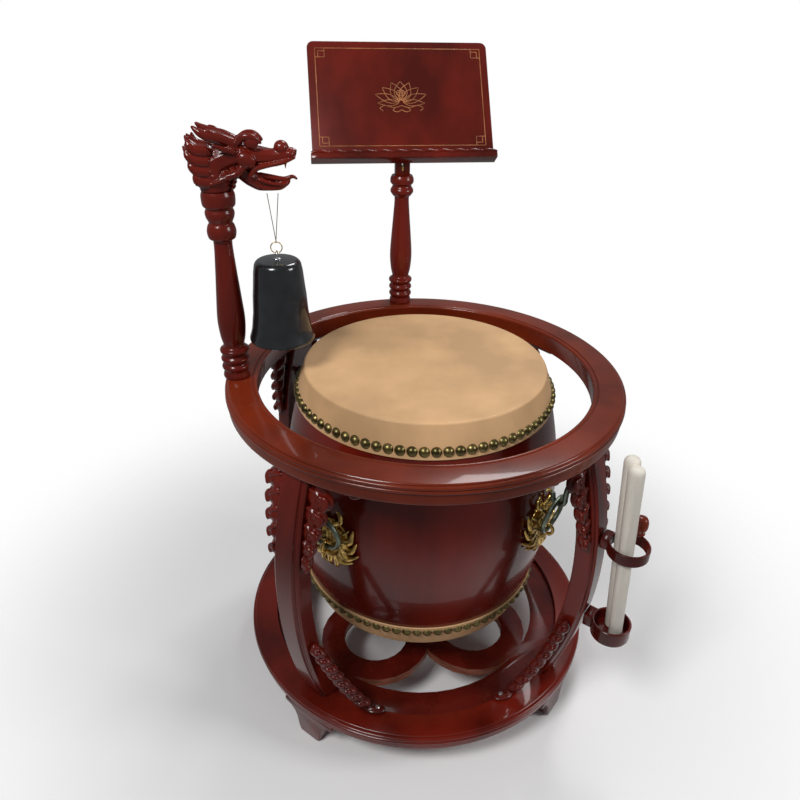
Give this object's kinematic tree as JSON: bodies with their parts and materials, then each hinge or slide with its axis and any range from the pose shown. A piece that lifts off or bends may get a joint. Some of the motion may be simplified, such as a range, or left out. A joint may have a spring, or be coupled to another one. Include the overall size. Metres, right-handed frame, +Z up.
{
  "type": "temple drum",
  "caption": "Barrel drum with nailed hides and ring handles, hung in a round openwork stand with a bell on a carved post, a tilting desk and a drumstick holder.",
  "frame": {"origin": "middle of the bounding box at floor level", "axes": "+Z up, -Y the front, where the desk's reader stands and faces the drum"},
  "size_m": [0.6836, 0.7436, 1.0853],
  "materials": {
    "lacquer": "red-brown lacquer, glossy",
    "lacquer_dark": "dark red-brown lacquer, glossy",
    "lacquer_warm": "warm red-brown lacquer, glossy",
    "hide": "pale tan rawhide",
    "nail_metal": "aged brass",
    "gilt": "gilt, satin",
    "bronze": "dark greenish bronze",
    "brass": "polished brass",
    "iron": "black, semi-gloss",
    "steel": "bright steel",
    "cord_brown": "brown cord",
    "stick_wood": "pale bare wood"
  },
  "bodies": {
    "stand": {"base_ring": "lacquer", "base_panel": "lacquer_dark", "foot_fl": "lacquer_dark", "leg_fl": "lacquer", "upper_bracket_fl_left": "lacquer", "upper_bracket_fl_right": "lacquer", "foot_fr": "lacquer_dark", "leg_fr": "lacquer", "upper_bracket_fr_left": "lacquer", "upper_bracket_fr_right": "lacquer", "foot_bl": "lacquer_dark", "leg_bl": "lacquer", "upper_bracket_bl_left": "lacquer", "upper_bracket_bl_right": "lacquer", "foot_br": "lacquer_dark", "leg_br": "lacquer", "upper_bracket_br_left": "lacquer", "upper_bracket_br_right": "lacquer", "lower_brace_fl_right": "lacquer_dark", "lower_brace_fr_left": "lacquer_dark", "lower_brace_bl_left": "lacquer_dark", "lower_brace_br_right": "lacquer_dark", "top_ring": "lacquer_warm", "hanger_hook_fl": "bronze", "hanger_hook_fr": "bronze", "hanger_hook_bl": "bronze", "hanger_hook_br": "bronze", "dragon_post": "lacquer", "dragon_head": "lacquer", "desk_post": "lacquer", "desk_pivot_pin": "brass", "stick_loop": "lacquer_dark", "stick_cup": "lacquer_dark", "holder_knob": "lacquer_warm"},
    "drum": {"drum_shell": "lacquer", "drum_head_top": "hide", "drum_head_bottom": "hide", "nail_row_top": "nail_metal", "nail_row_bottom": "nail_metal", "beast_mask_fl": "gilt", "beast_mask_fr": "gilt", "beast_mask_bl": "gilt", "beast_mask_br": "gilt"},
    "ring_fl": {"drum_ring_fl": "bronze"},
    "ring_fr": {"drum_ring_fr": "bronze"},
    "ring_bl": {"drum_ring_bl": "bronze"},
    "ring_br": {"drum_ring_br": "bronze"},
    "bell_sling": {"bell_cord": "cord_brown", "bell_split_ring": "brass"},
    "bell": {"bell": "iron", "bell_shackle": "steel"},
    "desk": {"desk_board": "lacquer", "desk_ledge": "lacquer", "desk_hinge_tongue": "brass"},
    "stick_1": {"drumstick_1": "stick_wood"},
    "stick_2": {"drumstick_2": "stick_wood"}
  },
  "joints": [
    {"name": "drum_lift", "type": "slide", "parent": "stand", "child": "drum", "axis": [0, 0, 1], "range_m": [0, 0.035]},
    {"name": "ring_swing_fl", "type": "hinge", "parent": "drum", "child": "ring_fl", "pos_m": [-0.16991, -0.22349, 0.402], "axis": [0.7071, -0.7071, 0], "range_deg": [-0.8, 0.8]},
    {"name": "ring_swing_fr", "type": "hinge", "parent": "drum", "child": "ring_fr", "pos_m": [0.19355, -0.22349, 0.402], "axis": [0.7071, 0.7071, 0], "range_deg": [-0.8, 0.8]},
    {"name": "ring_swing_bl", "type": "hinge", "parent": "drum", "child": "ring_bl", "pos_m": [-0.16991, 0.13997, 0.402], "axis": [-0.7071, -0.7071, 0], "range_deg": [-0.8, 0.8]},
    {"name": "ring_swing_br", "type": "hinge", "parent": "drum", "child": "ring_br", "pos_m": [0.19355, 0.13997, 0.402], "axis": [-0.7071, 0.7071, 0], "range_deg": [-0.8, 0.8]},
    {"name": "bell_sling_swing", "type": "hinge", "parent": "stand", "child": "bell_sling", "pos_m": [-0.22054, -0.03365, 0.9065], "axis": [0.9994, -0.0349, 0], "range_deg": [-30, 30]},
    {"name": "bell_swing", "type": "hinge", "parent": "bell_sling", "child": "bell", "pos_m": [-0.22054, -0.03365, 0.8175], "axis": [0.0349, 0.9994, 0], "range_deg": [-20, 1.5]},
    {"name": "desk_tilt", "type": "hinge", "parent": "stand", "child": "desk", "pos_m": [0.01182, 0.26874, 0.8933], "axis": [1, 0, 0], "range_deg": [-35, 30]},
    {"name": "stick_lift_1", "type": "slide", "parent": "stand", "child": "stick_1", "axis": [-0.0686, 0.0127, 0.9976], "range_m": [0, 0.2]},
    {"name": "stick_lift_2", "type": "slide", "parent": "stand", "child": "stick_2", "axis": [-0.0686, 0.0127, 0.9976], "range_m": [0, 0.2]}
  ]
}
